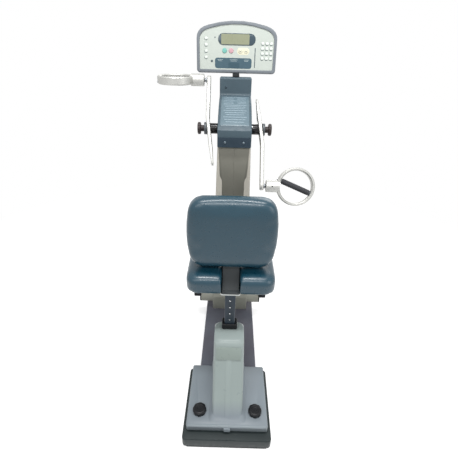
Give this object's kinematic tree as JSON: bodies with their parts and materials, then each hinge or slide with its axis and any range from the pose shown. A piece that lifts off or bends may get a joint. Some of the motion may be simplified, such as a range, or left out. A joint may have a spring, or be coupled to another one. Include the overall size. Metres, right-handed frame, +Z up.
{
  "type": "arm ergometer",
  "caption": "Seated hand-crank exerciser: height-adjustable seat with backrest on a long base, facing a narrow column with ring-handled crank arms and a console.",
  "frame": {"origin": "on the floor at the middle of the base's outline", "axes": "+Z up, +Y from the seat towards the column, +X to the seated user's right"},
  "size_m": [0.781, 1.28, 1.5251],
  "materials": {
    "slab_paint": "satin dark green-grey paint",
    "deck_paint": "satin grey-violet paint",
    "black_rubber": "matt",
    "pedestal_paint": "satin pale grey-green paint",
    "black_plastic": "fine-grained moulded nylon",
    "post_paint": "satin blue-grey paint",
    "bright_plate": "brushed",
    "teal_vinyl": "upholstery vinyl with a soft sheen",
    "bracket_paint": "satin dark grey paint",
    "bare_steel": "turned or rolled",
    "slate_plastic": "satin moulded plastic",
    "pale_plastic": "satin moulded plastic",
    "strip_plastic": "satin moulded plastic",
    "polished_alloy": "polished",
    "grip_rubber": "matt, finely ribbed",
    "bezel_plastic": "satin moulded plastic",
    "panel_face": "satin printed overlay",
    "window_lens": "smooth tinted lens",
    "start_green": "satin",
    "stop_red": "satin",
    "arrow_cream": "satin",
    "tube_paint": "satin grey paint"
  },
  "bodies": {
    "stand": {"base_slab": "slab_paint", "rear_rubber_foot": "black_rubber", "deck_beam": "deck_paint", "front_stabiliser": "slab_paint", "front_rubber_foot": "black_rubber", "seat_pedestal": "pedestal_paint", "post_bushing": "black_plastic", "footrest_block": "tube_paint", "foot_bar": "tube_paint", "foot_pad_left": "black_rubber", "foot_pad_right": "black_rubber", "side_panel_left": "pale_plastic", "side_panel_right": "pale_plastic", "rear_cover": "strip_plastic", "front_cover": "strip_plastic", "top_housing_rear": "slate_plastic", "top_housing_front": "slate_plastic", "service_panel": "slate_plastic", "column_frame": "bare_steel", "axle_bearing_left": "bare_steel", "axle_bearing_right": "bare_steel", "drive_belt": "black_rubber", "brake_bearing": "bare_steel", "brake_magnet_yoke": "bracket_paint", "console_back_shell": "bezel_plastic", "console_bezel": "bezel_plastic", "control_panel": "panel_face", "display_window": "window_lens", "console_neck": "black_plastic"},
    "wheels": {"transport_wheels": "black_plastic"},
    "knob_left": {"base_knob_left": "black_plastic"},
    "knob_right": {"base_knob_right": "black_plastic"},
    "seat": {"seat_post": "post_paint", "seat_carrier": "bright_plate", "seat_pad": "teal_vinyl", "backrest_bracket": "bracket_paint", "backrest_pad": "teal_vinyl"},
    "pin": {"post_pull_pin": "black_plastic"},
    "crank": {"crank_axle": "bare_steel", "drive_pulley": "black_plastic", "crank_hub_left": "bracket_paint", "crank_hub_right": "bracket_paint", "clamp_flange_left": "black_plastic", "clamp_flange_right": "black_plastic"},
    "clamp_left": {"clamp_knob_left": "black_plastic"},
    "clamp_right": {"clamp_knob_right": "black_plastic"},
    "arm_left": {"crank_arm_left": "polished_alloy", "handle_spindle_left": "bare_steel"},
    "arm_right": {"crank_arm_right": "polished_alloy", "handle_spindle_right": "bare_steel"},
    "handle_left": {"handle_ring_left": "polished_alloy", "grip_left": "grip_rubber"},
    "handle_right": {"handle_ring_right": "polished_alloy", "grip_right": "grip_rubber"},
    "brake": {"brake_shaft": "bare_steel", "flywheel": "bare_steel"},
    "start_button": {"start_key": "start_green"},
    "stop_button": {"stop_key": "stop_red"},
    "down_button": {"arrow_key_down": "arrow_cream"},
    "up_button": {"arrow_key_up": "arrow_cream"}
  },
  "joints": [
    {"name": "crank_turn", "type": "hinge", "parent": "stand", "child": "crank", "pos_m": [0, 0.29, 1.0635], "axis": [1, 0, 0], "continuous": true},
    {"name": "brake_turn", "type": "hinge", "parent": "stand", "child": "brake", "pos_m": [0, 0.325, 0.8], "axis": [1, 0, 0], "continuous": true},
    {"name": "arm_slide_left", "type": "slide", "parent": "crank", "child": "arm_left", "axis": [-0.1305, 0.5883, 0.798], "range_m": [0, 0.064]},
    {"name": "arm_slide_right", "type": "slide", "parent": "crank", "child": "arm_right", "axis": [0.1305, -0.5883, -0.798], "range_m": [-0.032, 0.032]},
    {"name": "clamp_turn_left", "type": "hinge", "parent": "crank", "child": "clamp_left", "pos_m": [0, 0.29, 1.0635], "axis": [1, 0, 0], "continuous": true},
    {"name": "clamp_turn_right", "type": "hinge", "parent": "crank", "child": "clamp_right", "pos_m": [0, 0.29, 1.0635], "axis": [1, 0, 0], "continuous": true},
    {"name": "handle_spin_left", "type": "hinge", "parent": "arm_left", "child": "handle_left", "pos_m": [0, 0.43835, 1.26472], "axis": [1, 0, 0], "continuous": true},
    {"name": "handle_spin_right", "type": "hinge", "parent": "arm_right", "child": "handle_right", "pos_m": [0, 0.12282, 0.83674], "axis": [1, 0, 0], "continuous": true},
    {"name": "seat_height", "type": "slide", "parent": "stand", "child": "seat", "axis": [0, 0, 1], "range_m": [-0.06, 0.07]},
    {"name": "pin_pull", "type": "slide", "parent": "stand", "child": "pin", "axis": [0, 1, 0], "range_m": [0, 0.01], "stiffness_N_per_m": 600, "springref_m": -0.01},
    {"name": "base_knob_turn_left", "type": "hinge", "parent": "stand", "child": "knob_left", "pos_m": [-0.1155, -0.542, 0.1], "axis": [0, 0, 1], "continuous": true},
    {"name": "base_knob_turn_right", "type": "hinge", "parent": "stand", "child": "knob_right", "pos_m": [0.1155, -0.542, 0.1], "axis": [0, 0, 1], "continuous": true},
    {"name": "wheel_roll", "type": "hinge", "parent": "stand", "child": "wheels", "pos_m": [0, 0.612, 0.034], "axis": [1, 0, 0], "continuous": true},
    {"name": "start_press", "type": "slide", "parent": "stand", "child": "start_button", "axis": [0, 0.9848, -0.1736], "range_m": [0, 0.002], "stiffness_N_per_m": 400, "springref_m": -0.002},
    {"name": "stop_press", "type": "slide", "parent": "stand", "child": "stop_button", "axis": [0, 0.9848, -0.1736], "range_m": [0, 0.002], "stiffness_N_per_m": 400, "springref_m": -0.002},
    {"name": "down_press", "type": "slide", "parent": "stand", "child": "down_button", "axis": [0, 0.9848, -0.1736], "range_m": [0, 0.002], "stiffness_N_per_m": 400, "springref_m": -0.002},
    {"name": "up_press", "type": "slide", "parent": "stand", "child": "up_button", "axis": [0, 0.9848, -0.1736], "range_m": [0, 0.002], "stiffness_N_per_m": 400, "springref_m": -0.002}
  ],
  "couplings": [
    {"joint": "brake_turn", "follows": "crank_turn", "ratio": 3}
  ]
}
